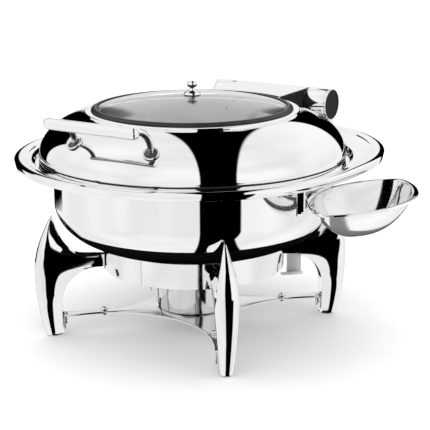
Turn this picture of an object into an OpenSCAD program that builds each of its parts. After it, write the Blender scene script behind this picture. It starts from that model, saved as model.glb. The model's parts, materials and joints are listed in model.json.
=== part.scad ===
// Round hinged-lid chafer with glass window, four cast legs, fuel holder and spoon rest.
// Millimetres. Z is up, the origin is on the pan axis at table level,
// -Y is the handle side, +Y the hinge side and +X the spoon rest side.

/* [Water pan] */
// Radius of the bowl wall
bowl_r = 197; // [190:1:200]
// Height of the flat bottom of the bowl
bowl_bottom_z = 128; // [124:1:132]
// Height of the ledge that the food pan and the lid stand on
ledge_z = 248; // [246:1:250]
// Outer radius of the rim around the pan
rim_r = 250; // [246:1:254]
// How far the rear half of the rim is set back for the hinge
rim_setback = 46; // [40:1:50]
// Thickness of the pan sheet
sheet_t = 1.5; // [1.2:0.1:1.8]

/* [Food pan] */
// Outer radius of the food pan rim
food_rim_r = 203; // [200:1:204]
// Depth of the food pan
food_depth = 65; // [40:1:100]

/* [Lid] */
// Radius of the lid at its base
lid_r = 216; // [214:1:217]
// Radius at which the dome turns flat
dome_flat_r = 120; // [116:1:124]
// Height of the dome above its straight skirt
dome_h = 61; // [58:1:63]
// Radius of the window opening with its gasket
window_r = 143; // [141:1:144]
// Rise of the glass at its middle
glass_rise = 18; // [12:1:20]

/* [Hinge] */
// Distance of the hinge axis behind the pan axis
hinge_y = 232; // [230:1:236]
// Height of the hinge axis
hinge_z = 299; // [297:1:303]
// Outer radius of the hinge barrel
barrel_r = 24; // [22:0.5:24]
// Half the length of the barrel part that turns with the lid
barrel_half = 63.5; // [60:0.5:66]
// Length of each fixed knuckle
knuckle_l = 34; // [30:1:36]

/* [Handle] */
// Half the length of the grip
grip_half = 74; // [70:1:80]
// Radius of the grip
grip_r = 7.5; // [6:0.5:8]
// Distance of each post from the middle
post_x = 61; // [56:1:64]
// How far the grip stands in front of the pan axis
grip_y = 232; // [228:1:236]
// Height of the grip
grip_z = 329; // [327:1:331]

/* [Stand] */
// Outer radius of the support ring
ring_r = 130; // [128:1:132]
// Height of the lower edge of the support ring
ring_z = 94.4; // [92:0.2:97]
// Radius of the circle that the feet stand on
foot_circle_r = 204; // [203:1:206]
// Height of the shelf plate's underside
shelf_z = 28; // [26:1:30]

/* [Fuel holder] */
// Outer radius of the fuel holder
holder_r = 52; // [46:1:54]
// Height of the fuel holder
holder_h = 62; // [50:1:63]

/* [Spoon rest] */
// Half length of the spoon rest bowl, along Y
spoon_l = 110; // [100:1:115]
// Half width of the spoon rest bowl, along X
spoon_w = 57; // [50:1:58]
// Depth of the spoon rest bowl
spoon_h = 50; // [40:1:52]
// Height of the spoon rest rim
spoon_z = 228; // [224:1:232]
// Distance of the spoon rest from the pan axis
spoon_x = 268; // [266:1:272]

/* [Hidden] */
$fn = 96;
eps = 0.02;
gap = 0.3;                       // between faces of different bodies
bowl_corner = [97, 64];          // radial and vertical reach of the bowl's curved corner
land_z = ledge_z + 8;            // flat land inside the rim
land_r = rim_r - 18;             // where the rim bead starts
bead_top_z = land_z + 4;
skirt_z = land_z - 8.6;          // lower edge of the rim
gutter_r = lid_r + 5.4;          // foot of the sloping gutter wall
lid_base_z = ledge_z + gap;
skirt_top_z = ledge_z + 10.7;    // the dome starts here
dome_w = lid_r - dome_flat_r;
seat_z = 315;                    // ledge in the dome that carries the gasket
seat_r = window_r - 12;
glass_r = window_r - 3.8;
glass_t = 4;
glass_top_z = seat_z + 24;
glass_sphere = (glass_rise * glass_rise + 140 * 140) / (2 * glass_rise);
bezel_r = window_r + 8;
knob_z = glass_top_z;
knuckle_x = barrel_half + 0.5;   // inner face of a fixed knuckle
knuckle_end = knuckle_x + knuckle_l;
barrel_bore = barrel_r - 4;
disc_r = 22.4;
shaft_r = 6;
shaft_clear = 0.05;
post_r = 5;
post_bend = 33;
boss_y = grip_y - post_bend - 12;
boss_h = 3;
ring_top_z = 130.2;
ring_t = 1.5;
seam_w = 0.5;
seam_depth = 0.3;
leg_angles = [225, 315, 45, 135];
leg_half_w = 16.5;
pad_r = 6;
pad_h = 3;
arm_top_z = 116.4;
arm_low_z = 98.7;
arm_mid_z = (arm_top_z + arm_low_z) / 2;
arm_screw_z = [arm_mid_z - 4.6, arm_mid_z + 4.6];
arm_screw_r = 2.5;
shelf_t = 2;
tab_r = 191;
tab_w = 22;
tab_low_z = 11;
tab_screw_z = 20;
stud_circle_r = 132;
star_waist = 68;
star_tip = [cos(45) * tab_r + sin(45) * tab_w / 2, sin(45) * tab_r - cos(45) * tab_w / 2];
// Centre of the concave arc between two arms: it passes the waist and the arm's tip
star_arc_x = (star_tip * star_tip - star_waist * star_waist) / (2 * (star_tip[0] - star_waist));
hanger_r = 140;
hanger_z = 66;
hanger_w = 22;
hanger_d = 9;                    // reach of its shelf
hanger_t = 2;
holder_t = 1.5;
strap_angle = 213.5;
rivet_r = 1.6;
holder_z = shelf_z + shelf_t + gap;
holder_top = holder_z + holder_h;
vent_r = 22;
damper_r = 25;
damper_pivot = [-38, 0];
damper_z = holder_top + 1.5 + gap;
damper_t = 1.5;
spoon_t = 1.2;
spoon_lip = 8;
spoon_rings = 10;
spoon_n = 56;
plate_x = bowl_r + 2;            // spoon bracket plate
plate_t = 3;
plate_half = 38;
backing_t = 2;
bracket_bolt_r = 2.5;
bracket_bolt_l = 7;

// Points of an elliptical arc around c, from angle a0 to a1
function arc(c, r, a0, a1, n) =
    [for (i = [0:n]) let (a = a0 + (a1 - a0) * i / n) [c[0] + r[0] * cos(a), c[1] + r[1] * sin(a)]];
// Points of a cubic curve with end points a and d and handles b and c
function curve(a, b, c, d, n = 10) =
    [for (i = [0:n]) let (t = i / n, u = 1 - t)
        u * u * u * a + 3 * u * u * t * b + 3 * u * t * t * c + t * t * t * d];
function dome_z(r) = skirt_top_z + dome_h * sqrt(1 - pow((r - dome_flat_r) / dome_w, 2));
function glass_z(r) = glass_top_z - glass_sphere + sqrt(glass_sphere * glass_sphere - r * r);

boss_radius = norm([post_x, boss_y]);
boss_z = dome_z(boss_radius);
boss_angle = acos((boss_radius - dome_flat_r) / dome_w);
boss_tilt = 90 - atan2(sin(boss_angle) / dome_h, cos(boss_angle) / dome_w);

module both_sides() {
    children();
    mirror([1, 0, 0]) children();
}
module at_legs() {
    for (a = leg_angles) rotate(a) children();
}
module along_x(length, r) {
    rotate([0, 90, 0]) cylinder(h = length, r = r, center = true);
}

// ---- stand ----

module support_ring() color("silver") difference() {
    translate([0, 0, ring_z]) cylinder(h = ring_top_z - ring_z, r = ring_r);
    translate([0, 0, ring_z - 1]) cylinder(h = ring_top_z - ring_z + 2, r = ring_r - ring_t);
    at_legs() for (z = arm_screw_z) translate([ring_r, 0, z]) along_x(20, arm_screw_r + 0.2);
    // butt seam of the rolled strip
    rotate(270) translate([ring_r - seam_depth, -seam_w / 2, ring_z - 1])
        cube([2 * seam_depth, seam_w, ring_top_z - ring_z + 2]);
}

leg_outer = concat(curve([202, 179], [214, 158], [229, 128], [229, 95]),
    curve([229, 95], [229, 62], [224, 30], [217, 6]), curve([217, 6], [216, 3], [214, 1], [211, 1], 4));
arm_under = curve([192.5, 50], [192.5, 75], [172, arm_low_z], [120, arm_low_z], 16);
leg_inner = concat(curve([195, 1], [193, 1], [191, 3], [191, 6], 4), [[192.4, 33]], arm_under);
leg_top = concat([[120, arm_top_z]], curve([140, arm_top_z], [170, 113], [184, 124], [196, 155]),
    curve([196, 155], [199, 163], [200, 171], [202, 179], 6));
leg_front = concat(curve([8.5, 0], [12, 30], [leg_half_w, 70], [leg_half_w, 105]),
    curve([leg_half_w, 105], [leg_half_w, 135], [6, 160], [1, 180]));
// Half outline from above: the arm narrows towards the ring
leg_plan = concat(curve([120, 6], [150, 8.5], [180, leg_half_w], [208, leg_half_w]),
    [[240, leg_half_w]]);
function mirrored(half) = concat(half, [for (i = [len(half) - 1:-1:0]) [-half[i][0], half[i][1]]]);

module leg(angle) color("silver") rotate(angle) difference() {
    intersection() {
        rotate([90, 0, 0]) translate([0, 0, -leg_half_w])
            linear_extrude(2 * leg_half_w) polygon(concat(leg_outer, leg_inner, leg_top));
        translate([110, 0, 0]) rotate([90, 0, 90]) linear_extrude(125) polygon(mirrored(leg_front));
        linear_extrude(190) rotate(-90) polygon(mirrored([for (p = leg_plan) [p[1], p[0]]]));
    }
    cylinder(h = 150, r = ring_r);
    translate([foot_circle_r, 0, -1]) cylinder(h = pad_h + 1, r = pad_r, $fn = 48);
    for (z = arm_screw_z) translate([ring_r, 0, z]) along_x(36, arm_screw_r);
    translate([tab_r, 0, tab_screw_z]) along_x(24, 2.5);
}
module leg_front_left() leg(leg_angles[0]);
module leg_front_right() leg(leg_angles[1]);
module leg_rear_right() leg(leg_angles[2]);
module leg_rear_left() leg(leg_angles[3]);

module cap_screw(r, length, head_r, head_h) {
    // along +X from the bearing face of its head
    rotate([0, 90, 0]) cylinder(h = length, r = r, $fn = 32);
    translate([-head_h, 0, 0]) rotate([0, 90, 0]) difference() {
        cylinder(h = head_h, r = head_r, $fn = 32);
        translate([0, 0, -1]) cylinder(h = 1 + head_h / 2, r = r * 0.8, $fn = 6);
    }
}
module leg_screws() color("gainsboro") at_legs() for (z = arm_screw_z)
    translate([ring_r - ring_t - 0.5, 0, z]) cap_screw(arm_screw_r, 18, 4.2, 3);
module foot_pads() color("dimgray") at_legs()
    translate([foot_circle_r, 0, 0]) cylinder(h = pad_h, r = pad_r, $fn = 48);

module burner_shelf() color("silver") difference() {
    union() {
        translate([0, 0, shelf_z]) linear_extrude(shelf_t) difference() {
            intersection() {
                circle(r = tab_r - 1, $fn = 128);
                at_legs() translate([0, -tab_r]) square([tab_r, 2 * tab_r]);
            }
            for (a = [0:90:270]) rotate(a) translate([star_arc_x, 0])
                circle(r = star_arc_x - star_waist, $fn = 128);
        }
        at_legs() translate([tab_r - 2, -tab_w / 2, tab_low_z])
            cube([2, tab_w, shelf_z + shelf_t - tab_low_z]);
    }
    at_legs() translate([tab_r, 0, tab_screw_z]) along_x(10, 2.6);
    at_legs() translate([stud_circle_r, 0, shelf_z - 1]) cylinder(h = 5, r = 2.6, $fn = 32);
}
module shelf_tab_screws() color("gainsboro") at_legs()
    translate([tab_r - 2, 0, tab_screw_z]) cap_screw(2.5, 12, 4.5, 3);
module shelf_dome_nuts() color("gainsboro") at_legs() translate([stud_circle_r, 0, shelf_z]) {
    translate([0, 0, -3]) cylinder(h = 3, r = 4.5, $fn = 6);
    cylinder(h = 6, r = 2.5, $fn = 32);
    translate([0, 0, shelf_t]) cylinder(h = 3, r = 5, $fn = 6);
    translate([0, 0, shelf_t + 3]) sphere(r = 4, $fn = 32);
}

// Plate under the arm of the rear right leg, with a shelf and a lip at its foot
module hanging_bracket() color("silver") rotate(leg_angles[2]) {
    top = [for (p = arm_under) if (p[0] > hanger_r && p[0] < hanger_r + hanger_w) p - [0, eps]];
    rotate([90, 0, 0]) linear_extrude(hanger_t, center = true) polygon(concat(top,
        [[hanger_r, hanger_z], [hanger_r + hanger_w, hanger_z]]));
    translate([hanger_r - 9, -hanger_d, hanger_z])
        cube([hanger_w + 9, hanger_d + hanger_t / 2, hanger_t]);
    translate([hanger_r - 9, -hanger_d, hanger_z]) cube([hanger_w + 9, hanger_t, 5]);
}

// ---- fuel holder ----

module fuel_holder() color("silver") difference() {
    translate([0, 0, holder_z]) cylinder(h = holder_h, r = holder_r);
    translate([0, 0, holder_z + holder_t]) cylinder(h = holder_h, r = holder_r - holder_t);
    at_rivets() along_x(8, rivet_r);
}
module at_rivets() rotate(strap_angle) for (z = [holder_z + 9, holder_z + 30])
    translate([holder_r, 0, z]) children();
// S-shaped strap riveted to the wall of the holder
module holder_handle() color("silver") difference() {
    rotate(strap_angle) translate([holder_r, 0, holder_z]) rotate([90, 0, 0])
        linear_extrude(12, center = true) polygon([[0, 4], [2, 4], [2, 34], [10, 38], [10, 22],
            [12, 22], [12, 41], [10, 41], [0, 36]]);
    at_rivets() along_x(8, rivet_r);
}
module holder_rivets() color("gainsboro") at_rivets() {
    translate([0.5, 0, 0]) along_x(5, rivet_r - eps, $fn = 24);
    translate([2.6, 0, 0]) along_x(1.2, 3, $fn = 24);
}
module holder_cover() color("silver") difference() {
    union() {
        translate([0, 0, holder_top]) cylinder(h = 1.5, r = holder_r);
        translate([0, 0, holder_top - 6]) cylinder(h = 6.5, r = holder_r - holder_t - 0.2);
    }
    translate([0, 0, holder_top - 7]) cylinder(h = 7, r = holder_r - holder_t - 1.5);
    translate([0, 0, holder_top - 7]) cylinder(h = 12, r = vent_r);
    translate([damper_pivot[0], damper_pivot[1], holder_top - 7]) cylinder(h = 12, r = 2.5);
}
module damper_rivet() color("gainsboro") translate([damper_pivot[0], damper_pivot[1], 0]) {
    translate([0, 0, holder_top - 2]) cylinder(h = 2, r = 4.5, $fn = 32);
    translate([0, 0, holder_top - 2]) cylinder(h = damper_z - holder_top + 5, r = 2.5);
    translate([0, 0, damper_z + damper_t + gap]) cylinder(h = 1.5, r = 4.5, $fn = 32);
}
module flame_damper() color("silver") translate([0, 0, damper_z]) difference() {
    union() {
        cylinder(h = damper_t, r = damper_r);
        translate([damper_pivot[0], damper_pivot[1], 0]) cylinder(h = damper_t, r = 7, $fn = 48);
        translate([damper_pivot[0], damper_pivot[1] - 7, 0]) cube([-damper_pivot[0], 14, damper_t]);
        translate([damper_r - 3, -5, 0]) cube([22, 10, damper_t]);
        translate([damper_r + 19 - damper_t, -5, 0]) cube([damper_t, 10, 8]);
    }
    translate([damper_pivot[0], damper_pivot[1], -1]) cylinder(h = 4, r = 2.5 + shaft_clear);
}

// ---- water pan ----

rim_profile = concat(
    curve([land_r, land_z], [land_r + 4, bead_top_z - 0.5], [rim_r - 2, bead_top_z + 0.5],
        [rim_r, land_z + 0.5]),
    [[rim_r - 2, skirt_z], [rim_r - 2 - sheet_t, skirt_z]],
    curve([rim_r - sheet_t, land_z - 0.5], [rim_r - 3.5, bead_top_z - 1.2],
        [land_r + 5, bead_top_z - 2.2], [land_r + 0.6, land_z - sheet_t]),
    [[land_r - 1, land_z - sheet_t], [land_r - 1, land_z]]);

// Half circle in front, half circle set back behind, and a straight stretch on each side
module rim_outline(r) {
    circle(r = r, $fn = 192);
    translate([0, rim_setback]) circle(r = r, $fn = 192);
    translate([-r, 0]) square([2 * r, rim_setback]);
}
module half_turn() intersection() {
    rotate_extrude($fn = 192) polygon(rim_profile);
    translate([-2 * rim_r, 0, 0]) cube([4 * rim_r, 2 * rim_r, 2 * rim_r]);
}
module water_pan() color("silver") difference() {
    pan_shell();
    at_bracket_bolts() cylinder(h = 10, r = bracket_bolt_r + 0.1, $fn = 32);
}
module pan_shell() {
    rotate_extrude($fn = 192) polygon(concat(
        [[0, bowl_bottom_z]],
        arc([bowl_r - bowl_corner[0], bowl_bottom_z + bowl_corner[1]], bowl_corner, -90, 0, 20),
        [[bowl_r, ledge_z - sheet_t], [gutter_r + 1, ledge_z - sheet_t],
            [gutter_r + 6, land_z - sheet_t], [land_r - 3, land_z - sheet_t], [land_r - 3, land_z],
            [gutter_r + 5, land_z], [gutter_r, ledge_z], [bowl_r - sheet_t, ledge_z]],
        arc([bowl_r - bowl_corner[0], bowl_bottom_z + bowl_corner[1]],
            bowl_corner - [sheet_t, sheet_t], 0, -90, 20),
        [[0, bowl_bottom_z + sheet_t]]));
    translate([0, 0, land_z - sheet_t]) linear_extrude(sheet_t) difference() {
        rim_outline(land_r);
        circle(r = land_r - 4, $fn = 192);
    }
    rotate(180) half_turn();
    translate([0, rim_setback, 0]) half_turn();
    both_sides() translate([0, rim_setback, 0]) rotate([90, 0, 0])
        linear_extrude(rim_setback) polygon(rim_profile);
}

// On the underside of the backing plate
module at_bracket_bolts() both_sides() for (y = [hinge_y - 11, hinge_y + 11])
    translate([knuckle_x + knuckle_l / 2, y, land_z - sheet_t - backing_t]) children();
module hinge_backing_plate() color("gray") difference() {
    translate([-knuckle_end - 4, hinge_y - 12, land_z - sheet_t - backing_t])
        cube([2 * knuckle_end + 8, 28, backing_t]);
    at_bracket_bolts() cylinder(h = 10, r = bracket_bolt_r + 0.1, center = true, $fn = 32);
    cylinder(h = land_z, r = gutter_r + 7);
}

module hinge_bracket() {
    difference() {
        union() {
            translate([knuckle_x + knuckle_l / 2, hinge_y, hinge_z]) along_x(knuckle_l, barrel_r);
            translate([knuckle_x, hinge_y - 12, land_z]) cube([knuckle_l, 24, hinge_z - land_z]);
            translate([knuckle_x, hinge_y - 17, land_z]) cube([knuckle_l, 35, 5]);
        }
        translate([knuckle_x + 4 + knuckle_l / 2, hinge_y, hinge_z])
            along_x(knuckle_l, barrel_bore);
        translate([knuckle_x, hinge_y, hinge_z]) along_x(20, shaft_r);
        cylinder(h = land_z + 50, r = gutter_r + 0.1);
        at_bracket_bolts() cylinder(h = bracket_bolt_l + 0.2, r = bracket_bolt_r + 0.1, $fn = 32);
    }
}
module hinge_bracket_right() color("silver") hinge_bracket();
module hinge_bracket_left() color("silver") mirror([1, 0, 0]) hinge_bracket();
module hinge_bracket_bolts() color("gainsboro") at_bracket_bolts() {
    translate([0, 0, -3]) cylinder(h = 3, r = 4.6, $fn = 6);
    cylinder(h = bracket_bolt_l, r = bracket_bolt_r, $fn = 32);
}
module hinge_shaft() color("gray") translate([0, hinge_y, hinge_z])
    along_x(2 * (knuckle_x + 9), shaft_r);
module hinge_end_rings() color("silver") both_sides() translate([knuckle_end, hinge_y, hinge_z])
    difference() {
        translate([1.5, 0, 0]) along_x(3, barrel_r);
        translate([3, 0, 0]) along_x(6, disc_r);
    }
module hinge_end_discs() color("#202020") both_sides() translate([knuckle_end, hinge_y, hinge_z]) {
    along_x(3, barrel_bore - eps);
    translate([1.25, 0, 0]) along_x(2.5, disc_r - eps);
}

// ---- spoon rest ----

module spoon_bracket() color("silver") difference() {
    union() {
        translate([plate_x, -plate_half, 196]) cube([plate_t, 2 * plate_half, ledge_z - sheet_t - 196]);
        translate([plate_x, -plate_half, ledge_z - sheet_t - 2]) cube([20, 2 * plate_half, 2]);
    }
    for (s = [-1, 1]) {
        translate([plate_x + 12, s * 28, ledge_z - 6]) cylinder(h = 6, r = 2.1, $fn = 32);
        translate([plate_x, s * 31, 202]) along_x(12, 2.1);
        translate([plate_x, s * 12, 210]) along_x(12, 2.1);
    }
}
module spoon_bracket_bolts() color("gainsboro") for (s = [-1, 1])
    translate([plate_x + 12, s * 28, ledge_z - sheet_t]) {
        translate([0, 0, -5]) cylinder(h = 3, r = 3.6, $fn = 32);
        translate([0, 0, -5]) cylinder(h = 5, r = 2, $fn = 32);
    }

// Almond outline with pointed ends; s scales it from the middle to the rim
function almond(t, s, grow) = [spoon_x + sign(sin(t)) * pow(abs(sin(t)), 1.5) * (spoon_w + grow) * s,
    cos(t) * (spoon_l + grow) * s];
function spoon_depth(s) = spoon_h * pow(1 - pow(s, 2.2), 0.7);
function spoon_ring(s, drop, grow) = [for (i = [0:spoon_n - 1])
    let (p = almond(360 * i / spoon_n, s, grow)) [p[0], p[1], spoon_z - drop]];
module spoon_rest() color("silver") {
    inner = [for (k = [1:spoon_rings]) let (s = sin(90 * k / spoon_rings))
        spoon_ring(s, spoon_depth(s) - (k < spoon_rings ? spoon_t * (1 - s) : 0), -spoon_t)];
    outer = [for (k = [spoon_rings:-1:1]) let (s = sin(90 * k / spoon_rings))
        spoon_ring(s, spoon_depth(s) + (k == spoon_rings ? spoon_t + 0.6 : 0), 0)];
    lip = [spoon_ring(1, 1.2, spoon_lip), spoon_ring(1, 2.4, spoon_lip)];
    rings = concat(inner, lip, outer);
    points = concat([for (r = rings) each r],
        [[spoon_x, 0, spoon_z - spoon_h + spoon_t], [spoon_x, 0, spoon_z - spoon_h]]);
    last = len(rings) - 1;
    top = len(points) - 2;
    faces = concat(
        [for (k = [0:last - 1]) for (i = [0:spoon_n - 1]) let (j = (i + 1) % spoon_n, a = k * spoon_n)
            [a + i, a + j, a + spoon_n + j, a + spoon_n + i]],
        [for (i = [0:spoon_n - 1]) [top, (i + 1) % spoon_n, i]],
        [for (i = [0:spoon_n - 1]) [top + 1, last * spoon_n + i, last * spoon_n + (i + 1) % spoon_n]]);
    polyhedron(points, faces);
}
module spoon_rest_arm() color("silver") difference() {
    union() {
        translate([plate_x + plate_t, -20, 203]) cube([2, 40, 14]);
        translate([plate_x + plate_t, -20, 215]) cube([16, 40, 2]);
    }
    // the flange ends at the bowl's side
    translate([0, 0, 200]) linear_extrude(20)
        polygon([for (i = [0:spoon_n - 1]) almond(360 * i / spoon_n, 0.95, 0)]);
    for (s = [-1, 1]) translate([plate_x + plate_t, s * 12, 210]) along_x(12, 2.1);
}
module spoon_rest_screws() color("gainsboro") for (s = [-1, 1])
    translate([plate_x + plate_t + 2, s * 12, 210]) mirror([1, 0, 0]) cap_screw(2, 6, 3.5, 2);

// ---- food pan ----

module food_pan() color("silver") {
    rim_z = ledge_z + gap;
    wall_r = bowl_r - sheet_t - 3;
    floor_z = rim_z - food_depth;
    rotate_extrude($fn = 192) polygon(concat([[0, floor_z]],
        arc([wall_r - 24, floor_z + 20], [20, 20], -90, 0, 8),
        [[wall_r, rim_z - 2], [wall_r + 1.5, rim_z], [food_rim_r - 1, rim_z], [food_rim_r, rim_z + 0.8],
            [food_rim_r - 1, rim_z + 1.8], [wall_r - 1.5, rim_z + 1.2]],
        arc([wall_r - 24, floor_z + 20], [18.8, 18.8], 0, -90, 8), [[0, floor_z + 1.2]]));
}

// ---- lid ----

module lid_dome() color("silver") difference() {
    rotate_extrude($fn = 192) polygon(concat(
        [[lid_r - sheet_t, lid_base_z], [lid_r, lid_base_z]],
        arc([dome_flat_r, skirt_top_z], [dome_w, dome_h], 0, acos((window_r - dome_flat_r) / dome_w), 28),
        [[window_r, seat_z], [seat_r, seat_z], [seat_r, seat_z - sheet_t],
            [window_r + sheet_t, seat_z - sheet_t]],
        arc([dome_flat_r, skirt_top_z], [dome_w - sheet_t, dome_h - sheet_t],
            acos((window_r + sheet_t - dome_flat_r) / (dome_w - sheet_t)), 0, 28)));
    both_sides() boss_axis() translate([0, 0, -12]) cylinder(h = 24, r = 2.6, $fn = 32);
    both_sides() arm_bolt_axis() translate([0, 0, -10]) cylinder(h = 20, r = 2.6, $fn = 32);
}
module window_bezel() color("silver") rotate_extrude($fn = 192) polygon(concat(
    [for (i = [0:6]) let (r = window_r + 8 * i / 6) [r, dome_z(r) + eps]],
    curve([bezel_r, dome_z(bezel_r) + 2], [bezel_r, dome_z(bezel_r) + 5], [window_r + 4, 322.4],
        [window_r, 322.4], 8)));
module window_gasket() color("#404040") rotate_extrude($fn = 192) polygon([
    [seat_r + 0.5, seat_z + eps], [window_r - 0.05, seat_z + eps], [window_r - 0.05, 322.2],
    [window_r - 2, 322.9], [135.5, glass_z(135.5) + 1], [135.5, glass_z(135.5) + eps],
    [glass_r + eps, glass_z(glass_r) + eps], [glass_r + eps, glass_z(glass_r) - glass_t - eps],
    [seat_r + 0.5, glass_z(seat_r + 0.5) - glass_t - eps]]);
module window_glass() color([0.7, 0.75, 0.78, 0.5]) difference() {
    rotate_extrude($fn = 192) polygon(concat(
        [for (i = [0:24]) let (r = glass_r * i / 24) [r, glass_z(r) - glass_t]],
        [for (i = [24:-1:0]) let (r = glass_r * i / 24) [r, glass_z(r)]]));
    translate([0, 0, knob_z - 10]) cylinder(h = 20, r = 4, $fn = 48);
}
module knob_base() color("silver") difference() {
    rotate_extrude($fn = 64) polygon(concat([[0, knob_z + 0.1], [12, knob_z + 0.1]],
        curve([12, knob_z + 2], [12, knob_z + 5], [5, knob_z + 5], [4.2, knob_z + 8], 8),
        [[4.2, knob_z + 9.5], [0, knob_z + 9.5]]));
    cylinder(h = 400, r = 2.5, $fn = 32);
}
module knob_ball() color("silver") {
    rotate_extrude($fn = 64) polygon(concat([[0, knob_z + 9.5]],
        arc([0, knob_z + 14.7], [7.6, 5.2], -88, 90, 16)));
    translate([0, 0, knob_z - 15]) cylinder(h = 26, r = 2.5, $fn = 32);
}
module knob_washer() color("#303030") translate([0, 0, knob_z - glass_t - 1.6]) difference() {
    cylinder(h = 1.5, r = 9, $fn = 48);
    translate([0, 0, -1]) cylinder(h = 4, r = 2.5, $fn = 32);
}
module knob_nut() color("gainsboro") translate([0, 0, knob_z - glass_t - 6]) difference() {
    cylinder(h = 4.3, r = 5, $fn = 6);
    translate([0, 0, -1]) cylinder(h = 7, r = 2.5, $fn = 32);
}

// ---- lid side of the hinge ----

arm_front_y = bezel_r + 1.5;
arm_bolt_y = 168;
module arm_bolt_axis() translate([38, arm_bolt_y, dome_z(sqrt(38 * 38 + arm_bolt_y * arm_bolt_y))])
    children();
module hinge_arm() color("silver") difference() {
    intersection() {
        rotate([90, 0, 90]) linear_extrude(2 * barrel_half, center = true)
            polygon(concat([[arm_front_y - 30, 290], [arm_front_y - 30, 322]],
                [[hinge_y, hinge_z + barrel_r]], [[hinge_y, hinge_z - 14], [hinge_y - 40, 285]]));
        difference() {
            translate([-200, 60, 200]) cube([400, 200, 200]);
            // follows the dome, the bezel and the barrel
            cylinder(h = 500, r = bezel_r + 0.3, $fn = 192);
            rotate_extrude($fn = 192) polygon(concat([[0, 200], [lid_r + eps, 200]],
                arc([dome_flat_r, skirt_top_z], [dome_w + eps, dome_h + eps], 0, 88, 28),
                [[0, skirt_top_z + dome_h]]));
            translate([0, hinge_y, hinge_z]) along_x(300, barrel_r);
        }
    }
    translate([-barrel_half + 3, 100, 200]) cube([2 * barrel_half - 6, 200, 118]);
    both_sides() arm_bolt_axis() translate([0, 0, -10]) cylinder(h = 40, r = 2.6, $fn = 32);
}
module hinge_arm_bolts() color("gainsboro") both_sides() arm_bolt_axis() {
    translate([0, 0, -7.5]) cylinder(h = 3.5, r = 5, $fn = 6);
    translate([0, 0, -7.5]) cylinder(h = 318 - dome_z(172) + 10, r = 2.5, $fn = 32);
}
module hinge_barrel() color("silver") translate([0, hinge_y, hinge_z]) difference() {
    along_x(2 * barrel_half, barrel_r);
    along_x(2 * barrel_half + 2, barrel_bore);
}
module hinge_bushes() color("darkgoldenrod") both_sides()
    translate([barrel_half - 5, hinge_y, hinge_z]) difference() {
        along_x(10, barrel_bore);
        along_x(12, shaft_r + shaft_clear);
    }
module lid_damper() color("dimgray") translate([0, hinge_y, hinge_z]) difference() {
    along_x(2 * (barrel_half - 11), barrel_bore);
    along_x(2 * barrel_half, shaft_r + shaft_clear);
}

// ---- handle ----

module boss_axis() translate([post_x, -boss_y, boss_z]) rotate([0, 0, atan2(-boss_y, post_x)])
    rotate([0, boss_tilt, 0]) children();
module handle_grip() color("silver") translate([0, -grip_y, grip_z]) {
    along_x(2 * (grip_half - grip_r), grip_r);
    both_sides() translate([grip_half - grip_r, 0, 0]) sphere(r = grip_r, $fn = 48);
}
module handle_post() difference() {
    union() {
        translate([post_x, -boss_y - post_bend, boss_z]) rotate([90, 0, 90]) intersection() {
            rotate_extrude($fn = 64) translate([post_bend, 0]) circle(r = post_r, $fn = 32);
            translate([0, 0, -10]) cube([60, 60, 20]);
        }
        translate([post_x, -boss_y - post_bend, boss_z + post_bend]) rotate([90, 0, 0])
            cylinder(h = 12, r = post_r, $fn = 32);
    }
    translate([0, -grip_y, grip_z]) along_x(200, grip_r);
    boss_axis() translate([0, 0, -20]) cylinder(h = 20 + boss_h, r = 20, $fn = 64);
    boss_axis() translate([0, 0, -10]) cylinder(h = 19, r = 2.5, $fn = 32);
}
module handle_post_right() color("silver") handle_post();
module handle_post_left() color("silver") mirror([1, 0, 0]) handle_post();
module handle_bosses() color("silver") both_sides() difference() {
    boss_axis() translate([0, 0, -4]) cylinder(h = 4 + boss_h, r = 11, $fn = 64);
    rotate_extrude($fn = 192) polygon(concat([[0, 200], [lid_r + eps, 200]],
        arc([dome_flat_r, skirt_top_z], [dome_w + eps, dome_h + eps], 0, 88, 28),
        [[0, skirt_top_z + dome_h]]));
    boss_axis() translate([0, 0, -12]) cylinder(h = 24, r = 2.5, $fn = 32);
}
module handle_screws() color("gainsboro") both_sides() boss_axis() {
    translate([0, 0, -10]) cylinder(h = 3, r = 5, $fn = 32);
    translate([0, 0, -10]) cylinder(h = 18, r = 2.5, $fn = 32);
}

support_ring();
leg_front_left();
leg_front_right();
leg_rear_right();
leg_rear_left();
leg_screws();
foot_pads();
burner_shelf();
shelf_tab_screws();
shelf_dome_nuts();
hanging_bracket();
fuel_holder();
holder_handle();
holder_rivets();
holder_cover();
damper_rivet();
flame_damper();
water_pan();
hinge_backing_plate();
hinge_bracket_left();
hinge_bracket_right();
hinge_bracket_bolts();
hinge_shaft();
hinge_end_rings();
hinge_end_discs();
spoon_bracket();
spoon_bracket_bolts();
spoon_rest();
spoon_rest_arm();
spoon_rest_screws();
food_pan();
lid_dome();
window_bezel();
window_gasket();
window_glass();
knob_base();
knob_ball();
knob_washer();
knob_nut();
hinge_arm();
hinge_arm_bolts();
hinge_barrel();
hinge_bushes();
lid_damper();
handle_grip();
handle_post_left();
handle_post_right();
handle_bosses();
handle_screws();
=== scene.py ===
"""Looks of the round chafer: polished shells, cast legs, domed glass, seals, and the studio they mirror.

Lengths are in millimetres until a piece is made; piece() turns them into metres. The frame is the CAD
frame: +Z up, -Y the handle side, +Y the hinge side, +X the spoon rest side.
"""

import json
import math

import bmesh
import bpy
from mathutils import Matrix, Vector


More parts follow.
